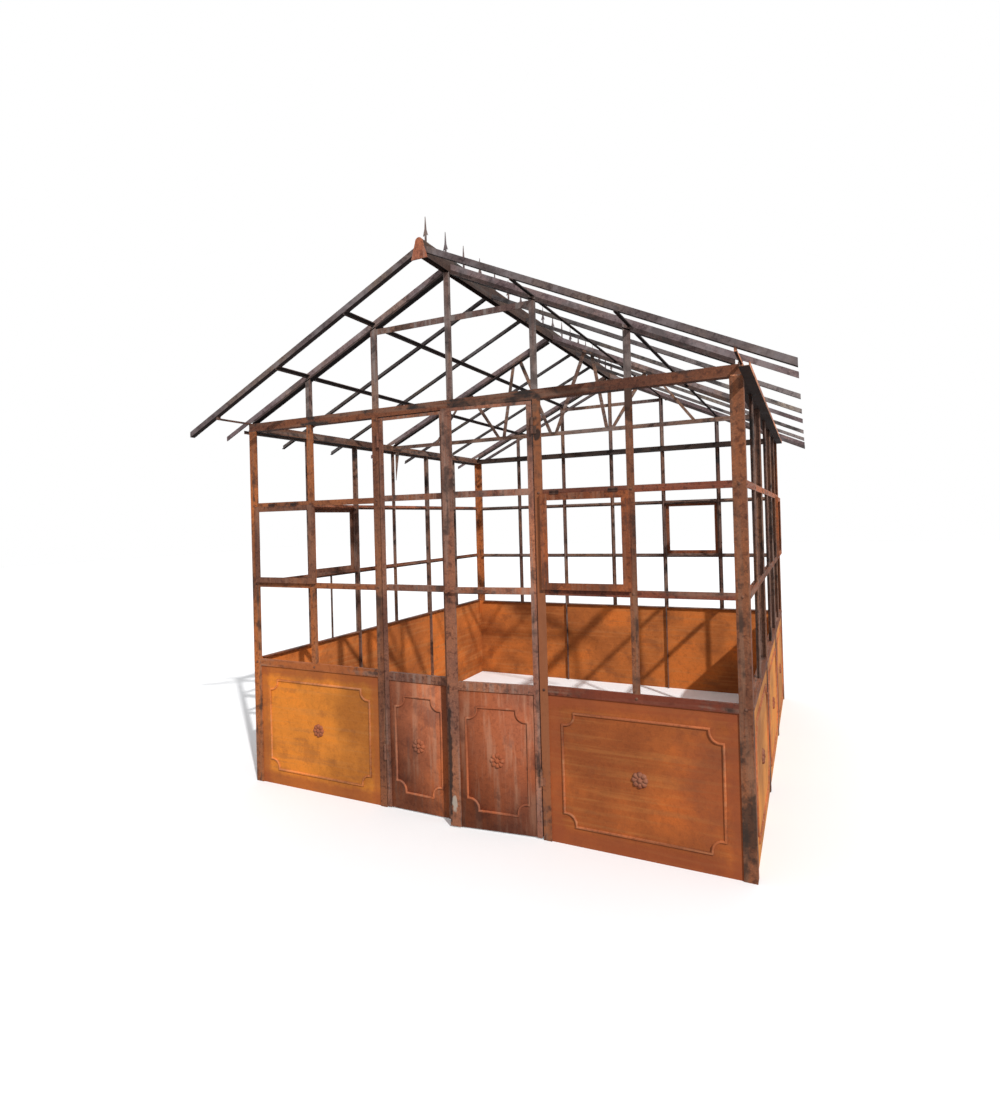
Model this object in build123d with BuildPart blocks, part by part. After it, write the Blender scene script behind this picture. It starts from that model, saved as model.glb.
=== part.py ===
from build123d import *
from math import cos, radians, sin, tan
import os

# An iron greenhouse frame, six bays wide and six bays deep, with a double door.
# X runs to the right along the front, Y to the rear and Z up, in millimetres.

# Plan and heights
bay_width = 469
narrow_bay_offset = 15
bay_depth = 485
bay_count = 6
door_opening_start = 955
door_opening = 910
eave_height = 2100
sill_top = 735
middle_rail_bottom = 1165
upper_rail_bottom = 1635
rear_sill_drop = 15
rear_rail_drop = 6

# Wall sections
iron = 6
corner_leg = 55
tee_face = 34
tee_depth = 34
light_tee_depth = 18
door_post_face = 40
sill_rail_height = 41
front_sill_ledge = 15
cross_rail_height = 32
beam_height = 48
side_beam_height = 54
beam_leg = 50
verge_tie = 10
gutter_width = 42
gutter_height = 20
gutter_sheet = 3
gutter_below_beam = 8
gutter_run_out = 200
gutter_short_end = 40

# Roof
pitch = 25.26
tail_overhang = 210
verge_overhang = 242
rafter_depth = 50
rafter_tail_depth = 24
rafter_face = 40
verge_depth = 28
verge_leg = 30
glazing_bar_drop = 10
glazing_bar_depth = 22
glazing_bar_face = 20
glazing_bar_iron = 5
purlin_height = 10
purlin_leg = 20
purlin_iron = 4
ridge_width = 36
ridge_height = 82
ridge_sheet = 4
ridge_above_rafters = 29
end_plate_base = 90
end_plate_height = 103
end_plate_radius = 20
end_plate_thickness = 6
short_tail = 60
collar_height = 30
collar_below_roof = 64

# Ridge finials
finial_pitch = 187
finial_count = 18
finial_height = 125
finial_stem = 9
finial_barb = 13
finial_thickness = 6
finial_barb_tip = 31
finial_neck = 38
finial_shoulder = 62
first_finial = 58

# Middle truss
truss_inner_foot = 417
truss_outer_foot = 975
truss_inner_head = 275
truss_outer_head = 700
truss_tie_height = 28
truss_bar = 24
truss_thickness = 8
gusset_width = 35
gusset_height = 230

# Base panels
sheet = 3
panel_margin = 60
panel_top_margin = 72
panel_bottom_margin = 83
scoop_radius = 40
scoop_step = 18
bead_width = 12
bead_height = 5
bead_taper = 30
rosette_radius = 38
rosette_notch = 31
petal_count = 8
petal_height = 6
petal_taper = 40
boss_radius = 14
boss_sides = 8
boss_height = 4

# Casements
casement_face = 35
casement_rail_face = 32
casement_depth = 16
casement_iron = 5
casement_lap = 10
casement_foot_lap = 4
first_casement_lap = 46

# Doors
door_gap = 5.5
meeting_gap = 8
head_gap = 6
leaf_ground_gap = 8
leaf_depth = 25
leaf_iron = 5
leaf_face = 33
hinge_stile_face = 26
leaf_upper_rail_rise = 8
meeting_stile_face = 58
leaf_split_offset = 27
leaf_head_rail = 16
leaf_panel_margin = 30
leaf_ajar = 7
barrel_radius = 7
barrel_length = 38
barrel_gap = 2
barrel_clearance = 0.5
hinge_pin_radius = 4
pin_clearance = 0.3
hinge_plate = 3
hinge_plate_width = 20
lower_hinge_height = 260
upper_hinge_height = 1935
latch_length = 245
latch_height = 14
latch_tip_height = 7
latch_stud_radius = 5
latch_thickness = 6
latch_standoff = 16

# Derived sizes
wall_width = bay_count * bay_width
wall_depth = bay_count * bay_depth
eave_top = eave_height + beam_height
side_beam_top = eave_height + side_beam_height
half_width = wall_width / 2
front_y = -wall_depth / 2
rear_y = front_y + wall_depth
middle_y = 0
slope = tan(radians(pitch))
lean = cos(radians(pitch))
bar_seat = glazing_bar_drop + glazing_bar_depth
rafter_top_at_wall = side_beam_top + bar_seat / lean
ridge_top = rafter_top_at_wall + half_width * slope + ridge_above_rafters
front_verge = front_y - verge_overhang
rear_verge = rear_y + verge_overhang
sill_bottom = sill_top - sill_rail_height
front_bars = [bay_width * k for k in range(1, bay_count)]
front_bars[-1] -= narrow_bay_offset
rear_bars = [bay_width * k for k in range(1, bay_count)]
side_bars = [bay_depth * k for k in range(1, bay_count)]


class Wall:
    """One wall: its outer corner, the way it runs seen from outside, its bars and its rails."""

    def __init__(self, corner, along, length, bars, posts, sill_drop=0, rail_drop=0):
        self.corner = Vector(*corner)
        self.along = Vector(*along)
        self.inward = Vector(0, 0, 1).cross(self.along)
        self.length = length
        self.bars = bars
        self.posts = posts
        self.sill = sill_top - sill_drop
        self.rail_bottoms = (middle_rail_bottom - rail_drop, upper_rail_bottom - rail_drop)

    def point(self, distance, depth, height):
        return self.corner + self.along * distance + self.inward * depth + Vector(0, 0, height)

    def plan(self, distance, height, depth=0):
        """Level plane: x along the wall, y inward."""
        return Plane(self.point(distance, depth, height), x_dir=self.along, z_dir=(0, 0, 1))

    def section(self, distance, height, depth=0):
        """Upright plane across the wall: x inward, y up, extruded along the wall."""
        return Plane(self.point(distance, depth, height), x_dir=self.inward, z_dir=self.along)

    def face(self, distance, height, depth=0):
        """Upright plane on the wall's face: x along the wall, y up, extruded outward."""
        return Plane(self.point(distance, depth, height), x_dir=self.along, z_dir=-self.inward)

    def spans(self, stations):
        """Free lengths between the corner posts and the uprights at the given stations."""
        edges = [corner_leg]
        for station in stations:
            edges += [station - tee_face / 2, station + tee_face / 2]
        edges.append(self.length - corner_leg)
        return list(zip(edges[0::2], edges[1::2]))


left_x = -half_width
right_x = half_width
front = Wall((left_x, front_y, 0), (1, 0, 0), wall_width, front_bars, [1, 3])
right = Wall((right_x, front_y, 0), (0, 1, 0), wall_depth, side_bars, [1, 3])
rear = Wall((right_x, rear_y, 0), (-1, 0, 0), wall_width, rear_bars, [1, 3], rear_sill_drop, rear_rail_drop)
left = Wall((left_x, rear_y, 0), (0, -1, 0), wall_depth, side_bars, [1, 3])
door_left = door_opening_start - door_post_face / 2
door_right = door_opening_start + door_opening + door_post_face / 2


def roof_top(x):
    """Height of the roof's top plane at a distance x from the side wall."""
    return rafter_top_at_wall + x * slope


def save(builder, name):
    builder.part.label = name
    export_step(builder.part, f"parts/{name}.step")


def tee(face, depth, thickness):
    """Tee section: flange on the outer face, web inward."""
    Rectangle(face, thickness, align=(Align.CENTER, Align.MIN))
    Rectangle(thickness, depth, align=(Align.CENTER, Align.MIN))


def angle(width, depth, thickness):
    """Angle section: one leg on the outer face, the other inward at the start."""
    Rectangle(width, thickness, align=(Align.MIN, Align.MIN))
    Rectangle(thickness, depth, align=(Align.MIN, Align.MIN))


os.makedirs("parts", exist_ok=True)

# Corner posts: angle iron from the ground to the eave beam
with BuildPart() as corner_posts:
    for wall in (front, right, rear, left):
        with BuildSketch(wall.plan(0, 0)):
            angle(corner_leg, corner_leg, iron)
        extrude(amount=eave_height)
save(corner_posts, "corner_posts")

# Door posts: tee iron either side of the double door
with BuildPart() as door_posts:
    for station in (door_left, door_right):
        with BuildSketch(front.plan(station, 0)):
            tee(door_post_face, tee_depth, iron)
        extrude(amount=eave_height)
save(door_posts, "door_posts")

# Front glazing bars beside the doors, on the sill rail
with BuildPart() as front_uprights:
    for station in (front.bars[0], front.bars[4]):
        with BuildSketch(front.plan(station, sill_top)):
            tee(tee_face, tee_depth, iron)
        extrude(amount=eave_height - sill_top)
save(front_uprights, "front_uprights")


def wall_uprights(wall, name):
    """Tee bars of a closed wall: posts to the ground at the panel joints, lighter bars on the sill."""
    with BuildPart() as uprights:
        for index, station in enumerate(wall.bars):
            foot = 0 if index in wall.posts else wall.sill
            depth = tee_depth if index in wall.posts else light_tee_depth
            with BuildSketch(wall.plan(station, foot)):
                tee(tee_face, depth, iron)
            extrude(amount=eave_height - foot)
    save(uprights, name)


wall_uprights(right, "right_uprights")
wall_uprights(rear, "rear_uprights")
wall_uprights(left, "left_uprights")


def wall_rails(wall, sill_spans, cross_spans, ledge, name):
    """Sill angle and two tee cross rails, cut to fit between the uprights."""
    with BuildPart() as rails:
        for start, end in sill_spans:
            with BuildSketch(wall.section(start, wall.sill - sill_rail_height)):
                Rectangle(iron, sill_rail_height, align=Align.MIN)
                with Locations((0, sill_rail_height - iron)):
                    Rectangle(ledge, iron, align=Align.MIN)
            extrude(amount=end - start)
        for bottom in wall.rail_bottoms:
            for start, end in cross_spans:
                with BuildSketch(wall.section(start, bottom)):
                    Rectangle(iron, cross_rail_height, align=Align.MIN)
                    with Locations((0, (cross_rail_height - iron) / 2)):
                        Rectangle(tee_depth, iron, align=Align.MIN)
                extrude(amount=end - start)
    save(rails, name)


def closed_wall_rails(wall, name):
    posts = [wall.bars[index] for index in wall.posts]
    wall_rails(wall, wall.spans(posts), wall.spans(wall.bars), tee_depth, name)


closed_wall_rails(right, "right_rails")
closed_wall_rails(rear, "rear_rails")
closed_wall_rails(left, "left_rails")

post_edge = door_post_face / 2
left_post_edge = door_left - post_edge
right_post_edge = door_right + post_edge
half_face = tee_face / 2
front_sill_spans = [(corner_leg, left_post_edge), (right_post_edge, wall_width - corner_leg)]
front_cross_spans = [
    (corner_leg, front.bars[0] - half_face),
    (front.bars[0] + half_face, left_post_edge),
    (right_post_edge, front.bars[4] - half_face),
    (front.bars[4] + half_face, wall_width - corner_leg),
]
wall_rails(front, front_sill_spans, front_cross_spans, front_sill_ledge, "front_rails")


class Panel:
    """A sheet panel: the plane of its outer face, its size, and the frame of its raised bead."""

    def __init__(self, plane, width, height, shown_start, shown_end, shown_top, margin):
        self.plane = plane
        self.width = width
        self.height = height
        self.frame_width = shown_end - shown_start - 2 * margin
        self.frame_height = shown_top - panel_top_margin - panel_bottom_margin
        across = plane.x_dir * (shown_start + shown_end) / 2
        up = plane.y_dir * (panel_bottom_margin + self.frame_height / 2)
        self.middle = Plane(plane.origin + across + up, x_dir=plane.x_dir, z_dir=plane.z_dir)


def bead_ring(width, height):
    """Ring of the bead, each corner stepped in and scooped out."""
    notch = scoop_radius + scoop_step
    Rectangle(width, height)
    with GridLocations(width, height, 2, 2):
        Rectangle(2 * notch, 2 * scoop_step, mode=Mode.SUBTRACT)
        Rectangle(2 * scoop_step, 2 * notch, mode=Mode.SUBTRACT)
    with GridLocations(width - 2 * scoop_step, height - 2 * scoop_step, 2, 2):
        Circle(scoop_radius, mode=Mode.SUBTRACT)
    offset(amount=-bead_width, mode=Mode.SUBTRACT)


def scalloped_disc():
    """Outline of the rosette: petal tips and the notches between them, by turns."""
    step = 180 / petal_count
    radii = [rosette_radius, rosette_notch] * petal_count
    Polygon(
        *[(r * cos(radians(k * step)), r * sin(radians(k * step))) for k, r in enumerate(radii)],
        align=None,
    )


def save_sheets(panels, name):
    with BuildPart() as sheets:
        for panel in panels:
            with BuildSketch(panel.plane):
                Rectangle(panel.width, panel.height, align=Align.MIN)
            extrude(amount=-sheet)
    save(sheets, name)


def save_trim(panels, name, with_sheet=False):
    """Raised bead and rosette of each panel, alone or in one piece with the sheet."""
    with BuildPart() as trim:
        for panel in panels:
            if with_sheet:
                with BuildSketch(panel.plane):
                    Rectangle(panel.width, panel.height, align=Align.MIN)
                extrude(amount=-sheet)
            with BuildSketch(panel.middle):
                bead_ring(panel.frame_width, panel.frame_height)
            extrude(amount=bead_height, taper=bead_taper)
            with BuildSketch(panel.middle):
                scalloped_disc()
            extrude(amount=petal_height, taper=petal_taper)
            with BuildSketch(panel.middle.offset(petal_height)):
                RegularPolygon(boss_radius, boss_sides)
            extrude(amount=boss_height, taper=petal_taper)
    save(trim, name)


panel_end = iron + sheet


def panel_between(wall, start, end, shown_start, shown_end):
    """Panel standing on the ground behind the flanges, between two places along the wall."""
    return Panel(
        wall.face(start, 0, iron), end - start, wall.sill - iron,
        shown_start - start, shown_end - start, wall.sill - sill_rail_height, panel_margin,
    )


def closed_wall_panels(wall):
    """Three panels, each two bays long, meeting at the webs of the posts."""
    near, far = (wall.bars[index] for index in wall.posts)
    last_end = wall.length - panel_end
    last_shown = wall.length - corner_leg
    return [
        panel_between(wall, panel_end, near - iron / 2, corner_leg, near - half_face),
        panel_between(wall, near + iron / 2, far - iron / 2, near + half_face, far - half_face),
        panel_between(wall, far + iron / 2, last_end, far + half_face, last_shown),
    ]


last_panel_end = wall_width - panel_end
last_panel_shown = wall_width - corner_leg
front_panels = [
    panel_between(front, panel_end, door_left - iron / 2, corner_leg, left_post_edge),
    panel_between(front, door_right + iron / 2, last_panel_end, right_post_edge, last_panel_shown),
]
right_panels = closed_wall_panels(right)
rear_panels = closed_wall_panels(rear)
left_panels = closed_wall_panels(left)
save_sheets(front_panels, "front_base_panels")
save_sheets(right_panels, "right_base_panels")
save_sheets(rear_panels, "rear_base_panels")
save_sheets(left_panels, "left_base_panels")
save_trim(front_panels + right_panels + rear_panels + left_panels, "panel_trim")

# Side eave beams: angle iron between the gable walls, with a thin tie on to each verge
tie_length = verge_overhang - iron
with BuildPart() as side_eave_beams:
    for side in (-1, 1):
        middle_of_tie = side * (half_width - verge_tie / 2)
        with BuildSketch(Plane.XZ.offset(-rear_y)):
            with Locations((side * (half_width - iron / 2), eave_height + side_beam_height / 2)):
                Rectangle(iron, side_beam_height)
            with Locations((side * (half_width - beam_leg / 2), eave_height + iron / 2)):
                Rectangle(beam_leg, iron)
        extrude(amount=wall_depth)
        for end in (-1, 1):
            tie_y = end * (rear_y + tie_length / 2)
            with BuildSketch(Plane.XY.offset(side_beam_top - verge_tie)):
                with Locations((middle_of_tie, tie_y)):
                    Rectangle(verge_tie, tie_length)
            extrude(amount=verge_tie)
            hook_y = end * (rear_verge - (verge_leg + iron) / 2)
            with BuildSketch(Plane.XY.offset(side_beam_top)):
                with Locations((middle_of_tie, hook_y)):
                    Rectangle(verge_tie, verge_leg - iron)
            extrude(amount=roof_top(0) - (verge_depth - iron) / lean - side_beam_top)
save(side_eave_beams, "side_eave_beams")

# Eave gutters: small channels on the outside of the side walls, open above; the right one
# runs on in front of the front wall and stops short of the rear corner
gutter_bottom = eave_height - gutter_below_beam
gutter_middle = half_width + gutter_width / 2
gutter_runs = [
    (-1, front_y, rear_y),
    (1, front_y - gutter_run_out, rear_y - gutter_short_end),
]
with BuildPart() as eave_gutters:
    for side, start, end in gutter_runs:
        with BuildSketch(Plane.XZ.offset(-end)):
            with Locations((side * gutter_middle, gutter_bottom + gutter_height / 2)):
                Rectangle(gutter_width, gutter_height)
            with Locations((side * gutter_middle, gutter_bottom + gutter_sheet + gutter_height / 2)):
                Rectangle(gutter_width - 2 * gutter_sheet, gutter_height, mode=Mode.SUBTRACT)
        extrude(amount=end - start)
save(eave_gutters, "eave_gutters")


def cross_beam(wall, name):
    """Angle iron between the side beams, its upright leg coped over their lower legs."""
    with BuildPart() as beam:
        with BuildSketch(wall.section(beam_leg, eave_height)):
            Rectangle(beam_leg, iron, align=Align.MIN)
        extrude(amount=wall.length - 2 * beam_leg)
        with BuildSketch(wall.section(beam_leg, eave_height)):
            Rectangle(iron, beam_height, align=Align.MIN)
        extrude(amount=wall.length - 2 * beam_leg)
        with BuildSketch(wall.section(iron, eave_height + iron)):
            Rectangle(iron, beam_height - iron, align=Align.MIN)
        extrude(amount=wall.length - 2 * iron)
    save(beam, name)


cross_beam(front, "front_eave_beam")
cross_beam(rear, "rear_eave_beam")


def slope_strip(low_x, high_x, upper, lower, side=-1):
    """Strip of one slope between two depths below the roof's top plane, left slope unless told."""
    Polygon(
        (side * (half_width - low_x), roof_top(low_x) - upper / lean),
        (side * (half_width - high_x), roof_top(high_x) - upper / lean),
        (side * (half_width - high_x), roof_top(high_x) - lower / lean),
        (side * (half_width - low_x), roof_top(low_x) - lower / lean),
        align=None,
    )


def cross_plane(y):
    """Upright plane across the building: x to the right, y up, facing the front."""
    return Plane((0, y, 0), x_dir=(1, 0, 0), z_dir=(0, -1, 0))


ridge_side = half_width - ridge_width / 2
rafter_stations = [front_y + rafter_face / 2, middle_y, rear_y - rafter_face / 2]
bar_stations = [front_y + bay_depth * k for k in (1, 2, 4, 5)]
rafter_rise = rafter_depth - bar_seat


def mirror_over_ridge():
    mirror(about=Plane.YZ)


# Deep rafters: tee iron with the flange underneath, standing above the glazing bars; the outer
# two are cut down beyond the wall, the middle one is not
with BuildPart() as deep_rafters:
    for y in rafter_stations:
        tail_rise = rafter_rise if y == middle_y else 0
        with BuildSketch(cross_plane(y)):
            slope_strip(0, ridge_side, -rafter_rise, bar_seat)
            slope_strip(-tail_overhang, 0, -tail_rise, rafter_tail_depth)
        extrude(amount=iron / 2, both=True)
        with BuildSketch(cross_plane(y)):
            slope_strip(0, ridge_side, bar_seat - iron, bar_seat)
        extrude(amount=rafter_face / 2, both=True)
    mirror_over_ridge()
save(deep_rafters, "deep_rafters")

# Verge rafters: angle iron, upright leg outward, half a bay beyond the gable walls;
# the rear one has lost most of its left tail
with BuildPart() as verge_rafters:
    for side in (-1, 1):
        for end, back in ((front_verge, 1), (rear_verge, -1)):
            tail = short_tail if side < 0 and back < 0 else tail_overhang
            with BuildSketch(cross_plane(end + back * iron / 2)):
                slope_strip(-tail, ridge_side, 0, verge_depth, side)
            extrude(amount=iron / 2, both=True)
            with BuildSketch(cross_plane(end + back * (iron + verge_leg) / 2)):
                slope_strip(-tail, ridge_side, verge_depth - iron, verge_depth, side)
                with Locations((side * (half_width - verge_tie / 2), side_beam_top)):
                    Rectangle(verge_tie, beam_height, mode=Mode.SUBTRACT)
            extrude(amount=(verge_leg - iron) / 2, both=True)
save(verge_rafters, "verge_rafters")

# Thin glazing bars of the roof, seated on the eave beams and the purlins, a little lower than
# the rafters; the last one on the left is broken off at the wall
with BuildPart() as roof_glazing_bars:
    for side in (-1, 1):
        for y in bar_stations:
            tail = 0 if side < 0 and y == bar_stations[-1] else tail_overhang
            with BuildSketch(cross_plane(y)):
                slope_strip(-tail, ridge_side, glazing_bar_drop, bar_seat, side)
            extrude(amount=glazing_bar_iron / 2, both=True)
            with BuildSketch(cross_plane(y)):
                slope_strip(-tail, ridge_side, bar_seat - glazing_bar_iron, bar_seat, side)
            extrude(amount=glazing_bar_face / 2, both=True)
save(roof_glazing_bars, "roof_glazing_bars")

# Purlins: small angles, two on each slope, under the rafters and under the verges, with the
# level leg to the right
purlin_runs = [
    (front_verge, front_y, verge_depth),
    (front_y + tee_depth, rear_y - tee_depth, bar_seat),
    (rear_y, rear_verge, verge_depth),
]
with BuildPart() as purlins:
    for side in (-1, 1):
        for k in (1, 2):
            x = k * bay_width
            leg_start = x if side < 0 else x + purlin_iron - purlin_leg
            for start, end, top in purlin_runs:
                with BuildSketch(cross_plane(end)):
                    slope_strip(x, x + purlin_iron, top, top + purlin_height, side)
                    slope_strip(leg_start, leg_start + purlin_leg, top, top + purlin_iron, side)
                extrude(amount=end - start)
save(purlins, "purlins")

# Ridge: a folded sheet with a round top, open below, from end plate to end plate
with BuildPart() as ridge_beam:
    with BuildSketch(cross_plane(rear_verge)):
        for width in (ridge_width, ridge_width - 2 * ridge_sheet):
            mode = Mode.ADD if width == ridge_width else Mode.SUBTRACT
            with Locations((0, ridge_top - ridge_height)):
                Rectangle(width, ridge_height - ridge_width / 2, align=(Align.CENTER, Align.MIN), mode=mode)
            with Locations((0, ridge_top - ridge_width / 2)):
                Circle(width / 2, mode=mode)
    extrude(amount=rear_verge - front_verge)
save(ridge_beam, "ridge_beam")

# End plates: a tapered shield with a round top on each end of the ridge
with BuildPart() as ridge_end_plates:
    for y in (front_verge, rear_verge + end_plate_thickness):
        with BuildSketch(cross_plane(y)):
            with Locations((0, ridge_top - end_plate_radius)):
                Circle(end_plate_radius)
            Polygon(
                (-end_plate_base / 2, ridge_top - end_plate_height),
                (end_plate_base / 2, ridge_top - end_plate_height),
                (end_plate_radius, ridge_top - end_plate_radius),
                (-end_plate_radius, ridge_top - end_plate_radius),
                align=None,
            )
        extrude(amount=end_plate_thickness)
save(ridge_end_plates, "ridge_end_plates")

# Spear finials in a row on the ridge, each a flat blade with two side barbs
with BuildPart() as ridge_finials:
    for k in range(finial_count):
        foot = Plane((0, front_verge + first_finial + k * finial_pitch, ridge_top),
                     x_dir=(1, 0, 0), z_dir=(0, -1, 0))
        with BuildSketch(foot):
            Polygon(
                (-finial_stem / 2, 0),
                (finial_stem / 2, 0),
                (finial_stem / 2, finial_neck),
                (finial_barb, finial_barb_tip),
                (finial_stem / 2, finial_shoulder),
                (0, finial_height),
                (-finial_stem / 2, finial_shoulder),
                (-finial_barb, finial_barb_tip),
                (-finial_stem / 2, finial_neck),
                align=None,
            )
        extrude(amount=finial_thickness / 2, both=True)
save(ridge_finials, "ridge_finials")


def gable_bars(wall, stations, rafter_side, name):
    """Tee bars from the cross beam up to the underside of the gable's rafters."""
    with BuildPart() as bars:
        for station in stations:
            with BuildSketch(wall.plan(station, eave_top)):
                tee(tee_face, tee_depth, iron)
            extrude(amount=ridge_top - ridge_height - eave_top)
        cut_depth = bar_seat / lean
        with BuildSketch(cross_plane(rafter_side)):
            Polygon(
                (left_x, roof_top(0) - cut_depth),
                (0, roof_top(half_width) - cut_depth),
                (right_x, roof_top(0) - cut_depth),
                (right_x, ridge_top + ridge_height),
                (left_x, ridge_top + ridge_height),
                align=None,
            )
        extrude(amount=2 * tee_depth, both=True, mode=Mode.SUBTRACT)
    save(bars, name)


gable_bars(front, front.bars, front_y, "front_gable_bars")
gable_bars(rear, rear.bars, rear_y, "rear_gable_bars")


# Collars: flat bars tying the door-line gable bars to the ridge-line bar
collar_top = roof_top(front_bars[1] + half_face) - collar_below_roof
with BuildPart() as gable_collars:
    for wall in (front, rear):
        for start, end in zip(wall.bars[1:3], wall.bars[2:4]):
            with BuildSketch(wall.section(start + half_face, collar_top - collar_height)):
                Rectangle(iron, collar_height, align=Align.MIN)
            extrude(amount=end - start - tee_face)
save(gable_collars, "gable_collars")

# Middle truss: a tie bar between the side beams and zigzag webs up to the rafters
with BuildPart() as truss_tie:
    with BuildSketch(cross_plane(middle_y)):
        with Locations((0, eave_top - truss_tie_height)):
            Rectangle(wall_width - 2 * iron, truss_tie_height, align=(Align.CENTER, Align.MIN))
    extrude(amount=truss_thickness / 2, both=True)
save(truss_tie, "truss_tie")


def web_outline(foot, head):
    """One web of the left half: foot and head are distances from the middle."""
    half_bar = truss_bar / 2
    underside = bar_seat / lean
    Polygon(
        (-foot - half_bar, eave_top),
        (-foot + half_bar, eave_top),
        (-head + half_bar, roof_top(half_width - head + half_bar) - underside),
        (-head - half_bar, roof_top(half_width - head - half_bar) - underside),
        align=None,
    )


web_ends = [
    (truss_bar, truss_inner_head - truss_bar),
    (truss_inner_foot - truss_bar, truss_inner_head + truss_bar),
    (truss_inner_foot + truss_bar, truss_outer_head - truss_bar),
    (truss_outer_foot, truss_outer_head + truss_bar),
]
with BuildPart() as truss_webs:
    for foot, head in web_ends:
        with BuildSketch(cross_plane(middle_y)):
            web_outline(foot, head)
        extrude(amount=truss_thickness / 2, both=True)
    mirror_over_ridge()
save(truss_webs, "truss_webs")

# Gussets: tapered plates under the eave beams on the middle side posts
with BuildPart() as truss_gussets:
    with BuildSketch(cross_plane(middle_y)):
        Polygon(
            (left_x + tee_depth, eave_height),
            (left_x + tee_depth, eave_height - gusset_height),
            (left_x + tee_depth + gusset_width, eave_height),
            align=None,
        )
    extrude(amount=iron / 2, both=True)
    mirror_over_ridge()
save(truss_gussets, "truss_gussets")


def casement_spans():
    """Each casement's wall and its outer edges along the wall, lapping over the bay's edges."""
    yield front, (corner_leg - casement_lap, front.bars[0] - half_face + first_casement_lap)
    yield front, (right_post_edge - casement_lap, front.bars[4] - half_face + casement_lap)
    for wall, bay in ((rear, 1), (right, 5), (left, 4)):
        start, end = wall.spans(wall.bars)[bay]
        yield wall, (start - casement_lap, end + casement_lap)


def casement_levels(wall):
    """Bottom and top of the wall's casements, lapping over its two cross rails."""
    lower_rail, upper_rail = wall.rail_bottoms
    return lower_rail + cross_rail_height - casement_foot_lap, upper_rail + casement_lap


casement_list = list(casement_spans())

# Casement stiles: angle iron on the outer face of the wall
with BuildPart() as casement_stiles:
    for wall, (start, end) in casement_list:
        bottom, top = casement_levels(wall)
        with BuildSketch(wall.plan(start, bottom, -casement_depth)):
            angle(casement_face, casement_depth, casement_iron)
        extrude(amount=top - bottom)
        with BuildSketch(wall.plan(end, bottom, -casement_depth)):
            with Locations((-casement_face, 0)):
                Rectangle(casement_face, casement_iron, align=Align.MIN)
            with Locations((-casement_iron, 0)):
                Rectangle(casement_iron, casement_depth, align=Align.MIN)
        extrude(amount=top - bottom)
save(casement_stiles, "casement_stiles")

# Casement rails between the stiles
with BuildPart() as casement_rails:
    for wall, (start, end) in casement_list:
        bottom, top = casement_levels(wall)
        length = end - start - 2 * casement_face
        with BuildSketch(wall.section(start + casement_face, bottom, -casement_depth)):
            Rectangle(casement_iron, casement_rail_face, align=Align.MIN)
            Rectangle(casement_depth, casement_iron, align=Align.MIN)
        extrude(amount=length)
        top_rail = wall.section(start + casement_face, top - casement_rail_face, -casement_depth)
        with BuildSketch(top_rail):
            Rectangle(casement_iron, casement_rail_face, align=Align.MIN)
            with Locations((0, casement_rail_face - casement_iron)):
                Rectangle(casement_depth, casement_iron, align=Align.MIN)
        extrude(amount=length)
save(casement_rails, "casement_rails")

leaf_front = barrel_radius + barrel_clearance


class Leaf:
    """One door leaf: x runs from the hinge axis to the free edge, y to the leaf's back."""

    def __init__(self, name, hinge_station, toward, width, meeting_face, ajar):
        self.name = name
        self.toward = toward
        self.width = width
        self.meeting_face = meeting_face
        turn = radians(ajar)
        self.along = Vector(toward * cos(turn), -sin(turn), 0)
        self.back = Vector(toward * sin(turn), cos(turn), 0)
        self.axis = Vector(left_x + hinge_station, front_y - leaf_front, 0)

    def point(self, x, y, z):
        return self.axis + self.along * x + self.back * y + Vector(0, 0, z)

    def level(self, x, y, z):
        """Level plane whose x runs to the free edge."""
        return Plane(self.point(x, y, z), x_dir=self.along, z_dir=(0, 0, 1))

    def face(self, x, y, z):
        """Plane on the leaf's outer face, extruded outward."""
        return Plane(self.point(x, y, z), x_dir=self.along * self.toward, z_dir=-self.back)

    def rectangle(self, width, depth):
        """Rectangle on a level plane, running to the free edge and to the back."""
        x_align = Align.MIN if width > 0 else Align.MAX
        y_align = Align.MIN if self.toward > 0 else Align.MAX
        Rectangle(abs(width), depth, align=(x_align, y_align))


opening_left = door_left + post_edge
opening_right = door_right - post_edge
split = half_width - leaf_split_offset
hinge_set_back = door_gap / 2
left_leaf = Leaf(
    "left_leaf", opening_left + hinge_set_back, 1,
    split - meeting_gap / 2 - opening_left - hinge_set_back, leaf_face, 0,
)
right_leaf = Leaf(
    "right_leaf", opening_right - hinge_set_back, -1,
    opening_right - hinge_set_back - split - meeting_gap / 2, meeting_stile_face, leaf_ajar,
)
leaf_edge = door_gap / 2
leaf_top = eave_height - head_gap


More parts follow.
